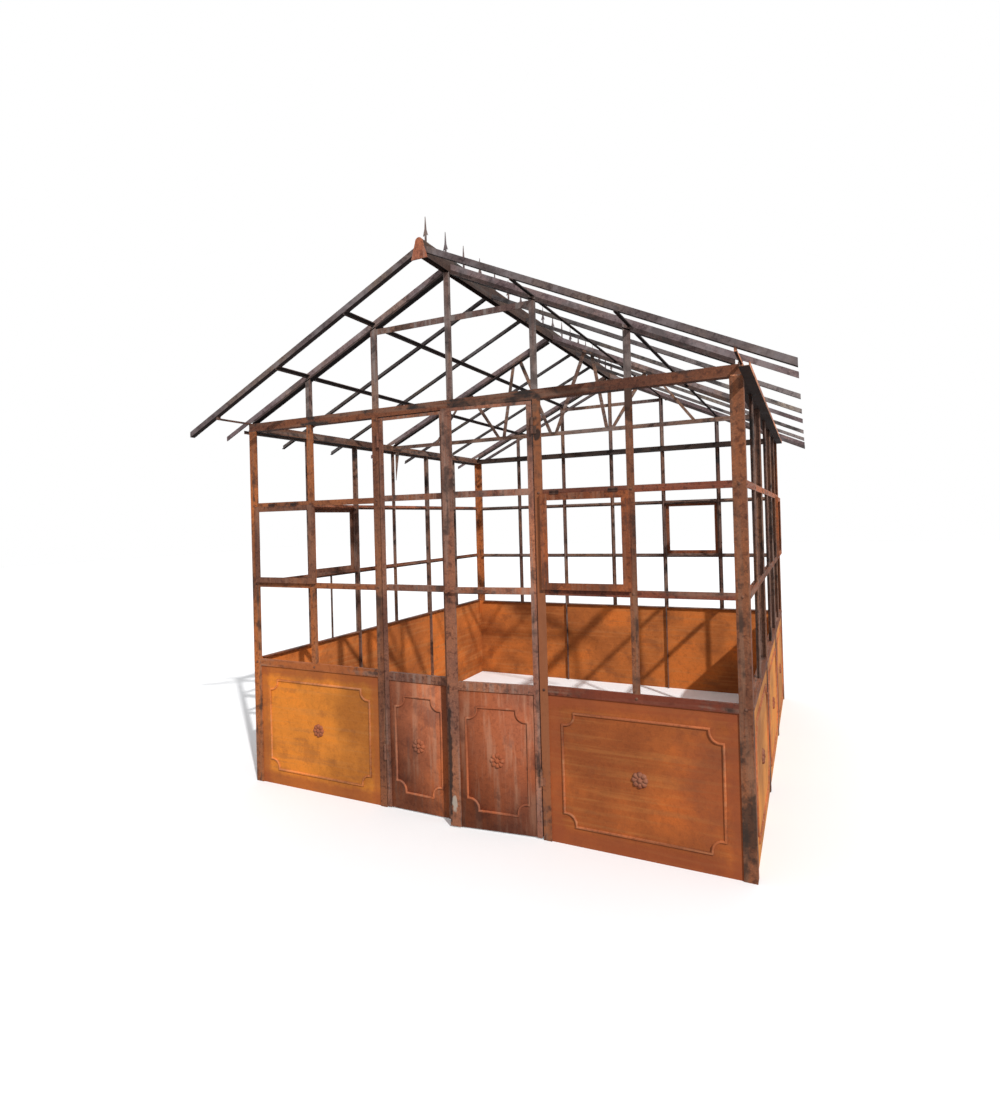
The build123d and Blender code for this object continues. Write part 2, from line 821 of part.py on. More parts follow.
def make_leaf(leaf):
    """Stiles, rails, base panel and hinge knuckles of one leaf."""
    back = leaf_front + leaf_depth
    skin = leaf_front + leaf_iron
    inner_start = leaf_edge + hinge_stile_face
    inner_end = leaf.width - leaf.meeting_face
    inner_width = inner_end - inner_start

    with BuildPart() as stiles:
        with BuildSketch(leaf.level(leaf_edge, leaf_front, leaf_ground_gap)):
            leaf.rectangle(hinge_stile_face, leaf_iron)
            leaf.rectangle(leaf_iron, leaf_depth)
        extrude(amount=leaf_top - leaf_ground_gap)
        with BuildSketch(leaf.level(leaf.width, leaf_front, leaf_ground_gap)):
            leaf.rectangle(-leaf.meeting_face, leaf_iron)
            leaf.rectangle(-leaf_iron, leaf_depth)
        extrude(amount=leaf_top - leaf_ground_gap)
    save(stiles, f"{leaf.name}_stiles")

    sill_low = sill_bottom - leaf_ground_gap
    with BuildPart() as rails:
        for low, height in (
            (sill_low, sill_rail_height),
            (middle_rail_bottom, cross_rail_height),
            (upper_rail_bottom + leaf_upper_rail_rise, cross_rail_height),
            (leaf_top - leaf_head_rail, leaf_head_rail),
        ):
            with BuildSketch(leaf.level(inner_start, leaf_front, low)):
                leaf.rectangle(inner_width, leaf_iron)
            extrude(amount=height)
            with BuildSketch(leaf.level(inner_start, leaf_front, low + height - leaf_iron)):
                leaf.rectangle(inner_width, leaf_depth)
            extrude(amount=leaf_iron)
    save(rails, f"{leaf.name}_rails")

    panel_start = leaf_edge + leaf_iron
    panel_width = leaf.width - leaf_iron - panel_start
    panel_height = sill_low + sill_rail_height - leaf_iron - leaf_ground_gap
    shown_start = inner_start - panel_start
    shown_end = inner_end - panel_start
    outer = leaf.face(panel_start, skin, leaf_ground_gap)
    if leaf.toward < 0:
        outer = leaf.face(panel_start + panel_width, skin, leaf_ground_gap)
        shown_start, shown_end = panel_width - shown_end, panel_width - shown_start
    shown_top = sill_low - leaf_ground_gap
    panel = Panel(outer, panel_width, panel_height, shown_start, shown_end, shown_top, leaf_panel_margin)
    save_trim([panel], f"{leaf.name}_panel", with_sheet=True)

    with BuildPart() as knuckles:
        for height in (lower_hinge_height, upper_hinge_height):
            with BuildSketch(leaf.level(0, 0, height + barrel_length + barrel_gap)):
                Circle(barrel_radius)
                with Locations((0, leaf.toward * (leaf_front - hinge_plate))):
                    leaf.rectangle(leaf_edge + hinge_plate_width, hinge_plate)
                Circle(hinge_pin_radius + pin_clearance, mode=Mode.SUBTRACT)
            extrude(amount=barrel_length)
    save(knuckles, f"{leaf.name}_knuckles")


make_leaf(left_leaf)
make_leaf(right_leaf)

# Hinge pins: the fixed knuckle and its plate on the door post, with the pin standing up from it
with BuildPart() as door_hinge_pins:
    for leaf in (left_leaf, right_leaf):
        for height in (lower_hinge_height, upper_hinge_height):
            seat = Plane(leaf.axis + Vector(0, 0, height), x_dir=(-leaf.toward, 0, 0), z_dir=(0, 0, 1))
            with BuildSketch(seat):
                Circle(barrel_radius)
                with Locations((hinge_plate_width / 2, -leaf.toward * (leaf_front - hinge_plate / 2))):
                    Rectangle(hinge_plate_width, hinge_plate)
            extrude(amount=barrel_length)
            with BuildSketch(seat.offset(barrel_length)):
                Circle(hinge_pin_radius)
            extrude(amount=barrel_length)
save(door_hinge_pins, "door_hinge_pins")

# Latch: a tapering flat bar on two studs across the right leaf's lock rail
latch_middle = middle_rail_bottom + cross_rail_height / 2
with BuildPart() as latch_lever:
    latch_start = right_leaf.width - latch_length
    with BuildSketch(right_leaf.face(latch_start, leaf_front - latch_standoff, latch_middle)):
        Polygon(
            (0, -latch_height / 2),
            (0, latch_height / 2),
            (-latch_length, latch_tip_height / 2),
            (-latch_length, -latch_tip_height / 2),
            align=None,
        )
    extrude(amount=latch_thickness)
    for x in (latch_start + latch_height, right_leaf.width - leaf_face):
        with BuildSketch(right_leaf.face(x, leaf_front, latch_middle)):
            Circle(latch_stud_radius)
        extrude(amount=latch_standoff)
save(latch_lever, "latch_lever")
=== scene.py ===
import math

import bpy
import numpy as np
from mathutils import Matrix, Vector


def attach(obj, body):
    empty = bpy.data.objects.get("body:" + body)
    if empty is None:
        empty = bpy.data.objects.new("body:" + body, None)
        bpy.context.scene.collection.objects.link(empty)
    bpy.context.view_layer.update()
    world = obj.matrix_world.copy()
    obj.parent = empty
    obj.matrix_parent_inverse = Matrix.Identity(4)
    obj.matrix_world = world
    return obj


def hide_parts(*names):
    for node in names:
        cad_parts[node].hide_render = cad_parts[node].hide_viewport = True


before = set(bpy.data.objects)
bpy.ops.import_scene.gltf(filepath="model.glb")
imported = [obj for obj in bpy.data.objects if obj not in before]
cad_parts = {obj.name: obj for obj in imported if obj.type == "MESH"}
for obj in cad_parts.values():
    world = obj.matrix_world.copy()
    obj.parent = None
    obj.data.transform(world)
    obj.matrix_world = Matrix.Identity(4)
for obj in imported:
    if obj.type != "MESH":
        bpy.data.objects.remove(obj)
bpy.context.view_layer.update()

# The camera: the photographer stood a little to the right of the right wall's line and
# not quite three metres in front of the door wall, looking left into the house from
# standing height with a wide lens. The small lens shift is the photo's crop.
camera_place = (1.642, -4.244, 1.526)
camera_heading = math.radians(25.64)
camera_pitch = math.radians(90.52)
camera_roll = -0.027  # radians
camera_data = bpy.data.cameras.new("photo_camera")
camera_data.sensor_width = 36.0
camera_data.lens = 20.74
camera_data.shift_x = -0.00545
camera_data.shift_y = -0.03245
camera = bpy.data.objects.new("photo_camera", camera_data)
bpy.context.scene.collection.objects.link(camera)
camera_turn = (
    Matrix.Rotation(camera_heading, 4, "Z")
    @ Matrix.Rotation(camera_pitch, 4, "X")
    @ Matrix.Rotation(camera_roll, 4, "Z")
)
camera.matrix_world = Matrix.Translation(camera_place) @ camera_turn
bpy.context.scene.camera = camera
bpy.context.scene.view_settings.view_transform = "Standard"

# The studio floor: a plain pale sheet, matt and a little uneven in tone, reaching well
# past the walls so that it takes the whole shadow. For light that bounces off it, it is
# grey, so that the undersides of the bars stay dark.
floor_half = 30.0
floor_dull = (0.90, 0.90, 0.90, 1)
floor_pale = (0.95, 0.95, 0.95, 1)
floor_for_bounces = (0.34, 0.34, 0.35, 1)
floor_mesh = bpy.data.meshes.new("studio_floor")
floor_mesh.from_pydata(
    [(x * floor_half, y * floor_half, 0) for x, y in ((-1, -1), (1, -1), (1, 1), (-1, 1))],
    [], [(0, 1, 2, 3)],
)
studio_floor = bpy.data.objects.new("studio_floor", floor_mesh)
bpy.context.scene.collection.objects.link(studio_floor)
floor_material = bpy.data.materials.new("pale_floor")
floor_material.use_nodes = True
floor_nodes = floor_material.node_tree.nodes
floor_links = floor_material.node_tree.links
floor_shader = floor_nodes["Principled BSDF"]
floor_shader.inputs["Roughness"].default_value = 0.9
floor_place = floor_nodes.new("ShaderNodeTexCoord")
floor_noise = floor_nodes.new("ShaderNodeTexNoise")
floor_noise.inputs["Scale"].default_value = 0.6
floor_ramp = floor_nodes.new("ShaderNodeValToRGB")
floor_ramp.color_ramp.elements[0].color = floor_dull
floor_ramp.color_ramp.elements[1].color = floor_pale
floor_ray = floor_nodes.new("ShaderNodeLightPath")
floor_mix = floor_nodes.new("ShaderNodeMix")
floor_mix.data_type = "RGBA"
floor_mix.inputs[6].default_value = floor_for_bounces
floor_links.new(floor_place.outputs["Object"], floor_noise.inputs["Vector"])
floor_links.new(floor_noise.outputs["Fac"], floor_ramp.inputs["Fac"])
floor_links.new(floor_ray.outputs["Is Camera Ray"], floor_mix.inputs[0])
floor_links.new(floor_ramp.outputs["Color"], floor_mix.inputs[7])
floor_links.new(floor_mix.outputs[2], floor_shader.inputs["Base Color"])
floor_mesh.materials.append(floor_material)

# The sky: plain white to the camera, in reflections and through anything clear, and a
# weaker, slightly blue light on the iron.
sky_light_colour = (0.97, 0.98, 1.0, 1)
sky_light_strength = 0.66
world = bpy.data.worlds.new("studio_world")
bpy.context.scene.world = world
world.use_nodes = True
world_nodes = world.node_tree.nodes
world_links = world.node_tree.links
sky_light = world_nodes["Background"]
sky_light.inputs["Color"].default_value = sky_light_colour
sky_light.inputs["Strength"].default_value = sky_light_strength
sky_seen = world_nodes.new("ShaderNodeBackground")
sky_seen.inputs["Color"].default_value = (1, 1, 1, 1)
sky_seen.inputs["Strength"].default_value = 1.0
ray_kind = world_nodes.new("ShaderNodeLightPath")
camera_or_gloss = world_nodes.new("ShaderNodeMath")
camera_or_gloss.operation = "MAXIMUM"
any_seen = world_nodes.new("ShaderNodeMath")
any_seen.operation = "MAXIMUM"
sky_mix = world_nodes.new("ShaderNodeMixShader")
world_links.new(ray_kind.outputs["Is Camera Ray"], camera_or_gloss.inputs[0])
world_links.new(ray_kind.outputs["Is Glossy Ray"], camera_or_gloss.inputs[1])
world_links.new(camera_or_gloss.outputs[0], any_seen.inputs[0])
world_links.new(ray_kind.outputs["Is Transmission Ray"], any_seen.inputs[1])
world_links.new(any_seen.outputs[0], sky_mix.inputs["Fac"])
world_links.new(sky_light.outputs[0], sky_mix.inputs[1])
world_links.new(sky_seen.outputs[0], sky_mix.inputs[2])
world_links.new(sky_mix.outputs[0], world_nodes["World Output"].inputs["Surface"])

# The sun: one lamp in front and to the right, 37 degrees up. It throws the right wall's
# and the roof bars' shadows across the rear panels and the floor, with narrow soft edges.
sun_direction = Vector((-0.62, 0.50, -0.60))
sun_data = bpy.data.lights.new("soft_sun", "SUN")
sun_data.energy = 3.1
sun_data.angle = math.radians(1.2)
sun = bpy.data.objects.new("soft_sun", sun_data)
bpy.context.scene.collection.objects.link(sun)
sun.rotation_euler = sun_direction.to_track_quat("-Z", "Y").to_euler()

# The corner posts, door posts and front uprights: rolled angle and tee iron, standing on
# the ground and fixed to the rails, painted once and rusted since. The rust is brown and
# blotched, greyer where paint holds, yellower on the left, with a dark stain low on the right.


def to_linear(red, green, blue):
    """Screen colour of 0 to 255 as linear light: each channel over 255, through the sRGB curve."""
    values = np.array([red, green, blue]) / 255
    curve = np.where(values <= 0.04045, values / 12.92, ((values + 0.055) / 1.055) ** 2.4)
    return (*curve.tolist(), 1.0)


def rust_group():
    """Node group of old rust: its tones mixed by clouds, flecks, grains, streaks and blotches,
    with the relief, roughness and bright grains that go with them, and painted shade that
    darkens faces looking down toward the stain colour."""
    group = bpy.data.node_groups.new("weathered_rust", "ShaderNodeTree")
    for in_out, kind, names in (
        ("INPUT", "NodeSocketVector", ("Place", "Streaks")),
        ("INPUT", "NodeSocketColor", ("Rust", "Stain", "Faded")),
        ("INPUT", "NodeSocketFloat", ("Stain share", "Faded share", "Underside shade", "Grit")),
        ("OUTPUT", "NodeSocketColor", ("Base Color",)),
        ("OUTPUT", "NodeSocketFloat", ("Roughness", "Metallic", "Height")),
    ):
        for name in names:
            group.interface.new_socket(name=name, in_out=in_out, socket_type=kind)
    nodes, links = group.nodes, group.links
    given = nodes.new("NodeGroupInput").outputs
    result = nodes.new("NodeGroupOutput").inputs

    def noise(place, scale, detail, roughness, distortion=0.0):
        node = nodes.new("ShaderNodeTexNoise")
        node.inputs["Scale"].default_value = scale
        node.inputs["Detail"].default_value = detail
        node.inputs["Roughness"].default_value = roughness
        node.inputs["Distortion"].default_value = distortion
        links.new(place, node.inputs["Vector"])
        return node.outputs["Fac"]

    def mask(value, low, high):
        node = nodes.new("ShaderNodeMapRange")
        node.interpolation_type = "SMOOTHSTEP"
        node.inputs["From Min"].default_value = low
        node.inputs["From Max"].default_value = high
        links.new(value, node.inputs["Value"])
        return node.outputs["Result"]

    def calculate(kind, first, second):
        node = nodes.new("ShaderNodeMath")
        node.operation = kind
        for socket, value in zip(node.inputs, (first, second)):
            if isinstance(value, (int, float)):
                socket.default_value = value
            else:
                links.new(value, socket)
        return node.outputs[0]

    def mix(share, first, second, kind="MIX"):
        node = nodes.new("ShaderNodeMix")
        node.data_type = "RGBA"
        node.blend_type = kind
        for index, value in ((0, share), (6, first), (7, second)):
            if isinstance(value, (float, tuple)):
                node.inputs[index].default_value = value
            else:
                links.new(value, node.inputs[index])
        return node.outputs[2]

    stretched = nodes.new("ShaderNodeVectorMath")
    stretched.operation = "MULTIPLY"
    links.new(given["Place"], stretched.inputs[0])
    links.new(given["Streaks"], stretched.inputs[1])
    blotch = noise(given["Place"], scale=7.0, detail=8.0, roughness=0.62, distortion=0.4)
    cloud = noise(given["Place"], scale=2.3, detail=5.0, roughness=0.55)
    grain = noise(given["Place"], scale=150.0, detail=4.0, roughness=0.7)
    flake = noise(given["Place"], scale=42.0, detail=6.0, roughness=0.6, distortion=0.8)
    streak = noise(stretched.outputs[0], scale=1.0, detail=6.0, roughness=0.6)

    # Wide clouds of duller and of warmer rust, with dark flecks and pale grains in them.
    dull_tint = (0.62, 0.58, 0.60, 1.0)
    warm_tint = (1.22, 1.10, 0.86, 1.0)
    fleck_tint = (0.50, 0.45, 0.46, 1.0)
    grain_tint = (1.55, 1.45, 1.36, 1.0)
    dull = mix(mask(cloud, 0.60, 0.34), given["Rust"], dull_tint, "MULTIPLY")
    warm = mix(mask(cloud, 0.45, 0.68), dull, warm_tint, "MULTIPLY")
    fleck_mask = calculate("MULTIPLY", mask(flake, 0.48, 0.66), given["Grit"])
    flecked = mix(fleck_mask, warm, fleck_tint, "MULTIPLY")
    grain_mask = calculate("MULTIPLY", mask(grain, 0.48, 0.68), given["Grit"])
    grained = mix(grain_mask, flecked, grain_tint, "MULTIPLY")

    # Faded paint in streaks along the bar, and stains where blotches and streaks add up.
    faded_mask = calculate("MULTIPLY", mask(streak, 0.46, 0.66), given["Faded share"])
    faded = mix(faded_mask, grained, given["Faded"])
    blotch_part = calculate("MULTIPLY", blotch, 0.65)
    streak_part = calculate("MULTIPLY", streak, 0.35)
    stain_noise = calculate("ADD", blotch_part, streak_part)
    stain_mask = calculate("MULTIPLY", mask(stain_noise, 0.51, 0.62), given["Stain share"])
    stained = mix(stain_mask, faded, given["Stain"])

    # Painted shade: faces that look down are darkened toward the stain colour, by the share given
    # for the underside.
    facing = nodes.new("ShaderNodeNewGeometry")
    split = nodes.new("ShaderNodeSeparateXYZ")
    links.new(facing.outputs["Normal"], split.inputs[0])
    below = mask(calculate("MULTIPLY", split.outputs["Z"], -1.0), 0.25, 0.8)
    painted_underside_shade = calculate("MULTIPLY", below, given["Underside shade"])
    links.new(mix(painted_underside_shade, stained, given["Stain"]), result["Base Color"])

    # Flakes are rough and stand up, stains are smoother and lie low, and the largest grains
    # show a little bare metal.
    rust_roughness = calculate("ADD", calculate("MULTIPLY", flake, 0.18), 0.74)
    stain_smoothing = calculate("MULTIPLY", stain_mask, 0.22)
    links.new(calculate("SUBTRACT", rust_roughness, stain_smoothing), result["Roughness"])
    links.new(calculate("MULTIPLY", mask(grain, 0.6, 0.8), 0.12), result["Metallic"])
    flake_height = calculate("MULTIPLY", flake, 0.6)
    relief = calculate("ADD", flake_height, calculate("MULTIPLY", grain, 0.25))
    stain_sinking = calculate("MULTIPLY", stain_mask, 0.3)
    links.new(calculate("SUBTRACT", relief, stain_sinking), result["Height"])
    return group


def rusted(name, rust, stain, faded, streaks,
           stain_share=0.7, faded_share=0.6, underside_shade=0.0, grit=1.0):
    """Material of rusted iron in the given screen colours. The streaks are the noise's scale
    along x, y and z, smallest along the bar. Faces that look down can be darkened toward the
    stain colour as painted shade."""
    material = bpy.data.materials.new(name)
    material.use_nodes = True
    nodes, links = material.node_tree.nodes, material.node_tree.links
    shader = nodes["Principled BSDF"]
    shader.inputs["Specular IOR Level"].default_value = 0.35
    place = nodes.new("ShaderNodeTexCoord")
    weather = nodes.new("ShaderNodeGroup")
    weather.node_tree = weathered_rust
    for socket, value in (
        ("Streaks", streaks), ("Rust", to_linear(*rust)), ("Stain", to_linear(*stain)),
        ("Faded", to_linear(*faded)), ("Stain share", stain_share),
        ("Faded share", faded_share), ("Underside shade", underside_shade), ("Grit", grit),
    ):
        weather.inputs[socket].default_value = value
    bump = nodes.new("ShaderNodeBump")
    bump.inputs["Strength"].default_value = 0.7
    bump.inputs["Distance"].default_value = 0.0014
    links.new(place.outputs["Object"], weather.inputs["Place"])
    for output in ("Base Color", "Roughness", "Metallic"):
        links.new(weather.outputs[output], shader.inputs[output])
    links.new(weather.outputs["Height"], bump.inputs["Height"])
    links.new(bump.outputs["Normal"], shader.inputs["Normal"])
    return material


def dress(material, *node_names):
    """Gives the named solids this material in every slot."""
    for node_name in node_names:
        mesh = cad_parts[node_name].data
        mesh.materials.clear()
        mesh.materials.append(material)


def by_place(material, axis, start, start_rust, end, end_rust):
    """Turns the rust from one screen colour to another between two places on an axis."""
    nodes, links = material.node_tree.nodes, material.node_tree.links
    weather = next(node for node in nodes if node.type == "GROUP")
    place = next(node for node in nodes if node.type == "TEX_COORD")
    split = nodes.new("ShaderNodeSeparateXYZ")
    share = nodes.new("ShaderNodeMapRange")
    share.inputs["From Min"].default_value = start
    share.inputs["From Max"].default_value = end
    blend = nodes.new("ShaderNodeMix")
    blend.data_type = "RGBA"
    blend.inputs[6].default_value = to_linear(*start_rust)
    blend.inputs[7].default_value = to_linear(*end_rust)
    links.new(place.outputs["Object"], split.inputs[0])
    links.new(split.outputs[axis], share.inputs["Value"])
    links.new(share.outputs["Result"], blend.inputs[0])
    links.new(blend.outputs[2], weather.inputs["Rust"])


def patch(material, middle, reach, colour, strength=0.9, unevenness=1.6, softness=0.3):
    """Mixes a colour into the base colour round a place. The distance from the middle, each
    axis divided by its reach, plus noise times the unevenness, fades it out: the edge lies
    where that is 0.95 and half the unevenness, and the softness is its width."""
    nodes, links = material.node_tree.nodes, material.node_tree.links
    shader = nodes["Principled BSDF"]
    place = next(node for node in nodes if node.type == "TEX_COORD")
    away = nodes.new("ShaderNodeVectorMath")
    away.operation = "SUBTRACT"
    away.inputs[1].default_value = middle
    scaled = nodes.new("ShaderNodeVectorMath")
    scaled.operation = "DIVIDE"
    scaled.inputs[1].default_value = reach
    length = nodes.new("ShaderNodeVectorMath")
    length.operation = "LENGTH"
    ragged = nodes.new("ShaderNodeTexNoise")
    ragged.inputs["Scale"].default_value = 26.0
    ragged.inputs["Detail"].default_value = 6.0
    summed = nodes.new("ShaderNodeMath")
    summed.operation = "MULTIPLY_ADD"
    summed.inputs[1].default_value = unevenness
    edge = 0.95 + unevenness / 2
    inside = nodes.new("ShaderNodeMapRange")
    inside.inputs["From Min"].default_value = edge
    inside.inputs["From Max"].default_value = edge - softness
    inside.inputs["To Max"].default_value = strength
    blend = nodes.new("ShaderNodeMix")
    blend.data_type = "RGBA"
    blend.inputs[7].default_value = to_linear(*colour)
    links.new(place.outputs["Object"], away.inputs[0])
    links.new(away.outputs[0], scaled.inputs[0])
    links.new(scaled.outputs[0], length.inputs[0])
    links.new(place.outputs["Object"], ragged.inputs["Vector"])
    links.new(ragged.outputs["Fac"], summed.inputs[0])
    links.new(length.outputs["Value"], summed.inputs[2])
    links.new(summed.outputs[0], inside.inputs["Value"])
    links.new(inside.outputs["Result"], blend.inputs[0])
    links.new(shader.inputs["Base Color"].links[0].from_socket, blend.inputs[6])
    links.new(blend.outputs[2], shader.inputs["Base Color"])


weathered_rust = rust_group()
down_the_face = (38.0, 38.0, 1.6)
wall_front = -1.455
door_post_place = 0.478
foot_stain = (44, 33, 26)
post_rust = rusted(
    "post_rust", rust=(124, 78, 54), stain=(44, 28, 20), faded=(140, 106, 84),
    streaks=down_the_face, stain_share=0.8, faded_share=0.45)
by_place(post_rust, "X", -1.3, (156, 92, 50), -0.5, (120, 74, 50))
patch(post_rust, (door_post_place, wall_front, 1.0), (0.06, 0.1, 1.2), (150, 88, 52), strength=0.75)
for stain_middle, stain_reach, stain_strength in (
        ((1.38, -1.45, 0.24), (0.06, 0.03, 0.17), 0.75),
        ((1.40, -1.42, 0.62), (0.03, 0.03, 0.10), 0.7)):
    patch(post_rust, stain_middle, stain_reach, foot_stain, stain_strength)
patch(post_rust, (door_post_place, wall_front, 1.93), (0.02, 0.02, 0.03), (24, 18, 16))
dress(post_rust, "corner_posts", "door_posts", "front_uprights")

# The uprights of the other three walls: tee iron between the base panels and the eaves,
# mostly seen from inside, with grey remains of paint and near-black stains.
inner_post_rust = rusted(
    "inner_post_rust", rust=(112, 80, 66), stain=(26, 20, 18), faded=(140, 124, 114),
    streaks=down_the_face, stain_share=0.95)
dress(inner_post_rust, "right_uprights", "rear_uprights", "left_uprights")

# The gable bars and collars: the same tees going on above the eave beam to the rafters,
# and a level bar across them at each end, both greyer than the posts.
gable_rust = rusted(
    "gable_rust", rust=(112, 88, 80), stain=(40, 28, 26), faded=(136, 124, 118),
    streaks=down_the_face, stain_share=0.7, faded_share=0.8)
dress(gable_rust, "front_gable_bars", "rear_gable_bars", "gable_collars")

# The front rails: the sill over the panels and two cross rails, angle and tee iron fixed
# between the posts. The sill is ochre brown on the left and dark red brown on the right.
across_the_front = (1.6, 38.0, 38.0)
sill_height = 0.7145
front_rail_rust = rusted(
    "front_rail_rust", rust=(126, 72, 47), stain=(44, 26, 19), faded=(150, 118, 100),
    streaks=across_the_front, stain_share=0.9, faded_share=0.45)
by_place(front_rail_rust, "X", -0.9, (142, 86, 52), 0.9, (116, 62, 44))
for sill_middle, sill_colour, sill_strength in (
        (-0.95, (172, 92, 40), 0.6), (0.93, (112, 46, 24), 0.7)):
    patch(front_rail_rust, (sill_middle, wall_front, sill_height), (0.4, 0.1, 0.1),
          sill_colour, sill_strength)
dress(front_rail_rust, "front_rails")

# The front eave beam: the deep angle across the tops of the posts, which the gable bars
# stand on, blotched almost black.
beam_rust = rusted(
    "beam_rust", rust=(104, 62, 42), stain=(32, 21, 16), faded=(122, 96, 80),
    streaks=across_the_front, stain_share=1.0, faded_share=0.5)
dress(beam_rust, "front_eave_beam")

# The rear rails and the middle truss: the rails match the front's, and the truss is a tie
# bar with a zigzag of flat webs and tapered gussets at the side posts. All of it is grey
# brown, with painted shade that turns its faces that look down almost black.
rear_rail_rust = rusted(
    "rear_rail_rust", rust=(118, 90, 76), stain=(24, 19, 18), faded=(150, 134, 126),
    streaks=across_the_front, stain_share=0.9, faded_share=0.6, underside_shade=0.9)
dress(rear_rail_rust, "rear_rails", "truss_tie", "truss_webs", "truss_gussets")

# The rear eave beam: the same angle as in front, seen from its shaded side only.
# Painted shade: the beam's dark colour is partly rust and partly the shade it is seen in, and its
# faces that look down are darkened further.
rear_beam_rust_in_shade = rusted(
    "rear_beam_rust_in_shade", rust=(50, 36, 30), stain=(18, 14, 12), faded=(84, 68, 60),
    streaks=across_the_front, stain_share=0.9, faded_share=0.5, underside_shade=0.9)
dress(rear_beam_rust_in_shade, "rear_eave_beam")

# The side rails: cross rails and sills of the side walls, fixed between the uprights, dark
# below and paler in the upper rail.
along_the_side = (38.0, 1.6, 38.0)
# Painted shade darkens the rails' faces that look down.
side_rail_rust = rusted(
    "side_rail_rust", rust=(126, 80, 56), stain=(46, 28, 21), faded=(152, 116, 98),
    streaks=along_the_side, stain_share=0.8, faded_share=0.5, underside_shade=0.95)
by_place(side_rail_rust, "Z", 1.3, (108, 60, 34), 1.5, (152, 90, 62))
dress(side_rail_rust, "right_rails", "left_rails")

# The side eave beams and gutters: channels on top of the side posts that run forward to
# the verge, paler on the right as painted sunlight, and with painted shade on their faces that
# look down.
side_beam_rust = rusted(
    "side_beam_rust", rust=(98, 68, 54), stain=(26, 19, 17), faded=(128, 108, 98),
    streaks=along_the_side, stain_share=0.9, faded_share=0.6, underside_shade=0.95)
# Painted sunlight: the colour grows paler toward the right wall.
by_place(side_beam_rust, "X", 0.0, (98, 68, 54), 1.0, (190, 130, 100))
dress(side_beam_rust, "side_eave_beams", "eave_gutters")

# The verge rafters: the outermost bars of the roof at both ends, carried by the purlins,
# violet grey, with painted shade that darkens their faces that look down.
up_the_slope = (8.0, 38.0, 8.0)
verge_rust = rusted(
    "verge_rust", rust=(98, 86, 85), stain=(44, 36, 35), faded=(130, 120, 120),
    streaks=up_the_slope, stain_share=0.5, faded_share=0.7, underside_shade=0.97)
dress(verge_rust, "verge_rafters")

# The roof's glazing bars: light tees from the ridge to past the eaves, darker on the left
# slope and paler on the right one, with painted shade on their faces that look down.
bar_rust = rusted(
    "bar_rust", rust=(84, 76, 76), stain=(22, 18, 18), faded=(120, 114, 114),
    streaks=up_the_slope, stain_share=0.8, faded_share=0.5, underside_shade=0.97)
by_place(bar_rust, "X", 0.2, (72, 65, 64), 1.5, (142, 134, 131))
dress(bar_rust, "roof_glazing_bars")

# The purlins: thin level bars under the glazing bars, the darkest iron in the roof.
# Their dark colour is partly rust and partly painted shade, and their faces that look down are
# darkened further as painted shade.
purlin_rust_and_shade = rusted(
    "purlin_rust_and_shade", rust=(74, 58, 55), stain=(22, 17, 16), faded=(104, 92, 88),
    streaks=along_the_side, stain_share=0.8, faded_share=0.5, underside_shade=0.97)
dress(purlin_rust_and_shade, "purlins")

# The ridge: a folded sheet over the rafters' heads, dark brown, closed at each end by a
# bright rust-red plate and topped with a row of thin grey spears.
# Painted shade: the ridge sheet's faces that look down are darkened.
ridge_rust = rusted(
    "ridge_rust", rust=(66, 48, 40), stain=(24, 18, 15), faded=(104, 90, 82),
    streaks=along_the_side, stain_share=0.9, faded_share=0.5, underside_shade=0.97)
dress(ridge_rust, "ridge_beam")
plate_rust = rusted(
    "plate_rust", rust=(150, 92, 70), stain=(92, 50, 36), faded=(160, 134, 122),
    streaks=down_the_face, stain_share=0.5, faded_share=0.6)
dress(plate_rust, "ridge_end_plates")
finial_rust = rusted(
    "finial_rust", rust=(112, 98, 98), stain=(52, 44, 44), faded=(136, 128, 128),
    streaks=down_the_face, stain_share=0.5, faded_share=0.6)
dress(finial_rust, "ridge_finials")

# The three deep rafters: tees with the flange underneath, their tops level with the verges',
# running on over the side walls as a shallower tail. The upper part of the web is pale as
# painted light on its lit top, and its lower part and the flange are dark as painted shade,
# so each is an object of its own. Faces that look down get painted shade too.
roof_half_width = 1.407
rafter_top_at_wall = 2.1894
roof_pitch = math.radians(25.26)
roof_slope = math.tan(roof_pitch)
roof_lean = math.cos(roof_pitch)
rafter_depth = 0.050
rafter_pale_depth = 0.028
rafter_flange = 0.040
rafter_iron = 0.006
rafter_tail = 0.210
rafter_tail_depth = 0.024
rafter_places = (-1.435, 0.0, 1.435)
ridge_half = 0.018
flange_start = 0.03
BOX_FACES = np.array([
    (0, 1, 3, 2), (4, 6, 7, 5), (0, 4, 5, 1), (2, 3, 7, 6), (1, 5, 7, 3), (0, 2, 6, 4)])


def slope_bar(side, middle_y, breadth, low, high, upper, lower):
    """Eight corners and six faces of a bar on one slope: its ends stand at the distances low and
    high from the side wall, and its top and bottom lie the depths upper and lower below the
    roof's plane, whose height is the height at the wall plus distance times slope."""
    corners = np.array([
        (side * (roof_half_width - along), middle_y + across * breadth / 2,
         rafter_top_at_wall + along * roof_slope - depth / roof_lean)
        for along in (low, high) for across in (-1, 1) for depth in (lower, upper)
    ])
    return corners, BOX_FACES if side < 0 else BOX_FACES[:, ::-1]


def joined(parts):
    """Vertices and faces of several meshes as one, each face index raised by the vertices
    before it."""
    starts = np.cumsum([0] + [len(points) for points, _ in parts]).tolist()
    points = np.concatenate([points for points, _ in parts])
    faces = [tuple(int(i) + start for i in face)
             for (_, part_faces), start in zip(parts, starts) for face in part_faces]
    return points, faces


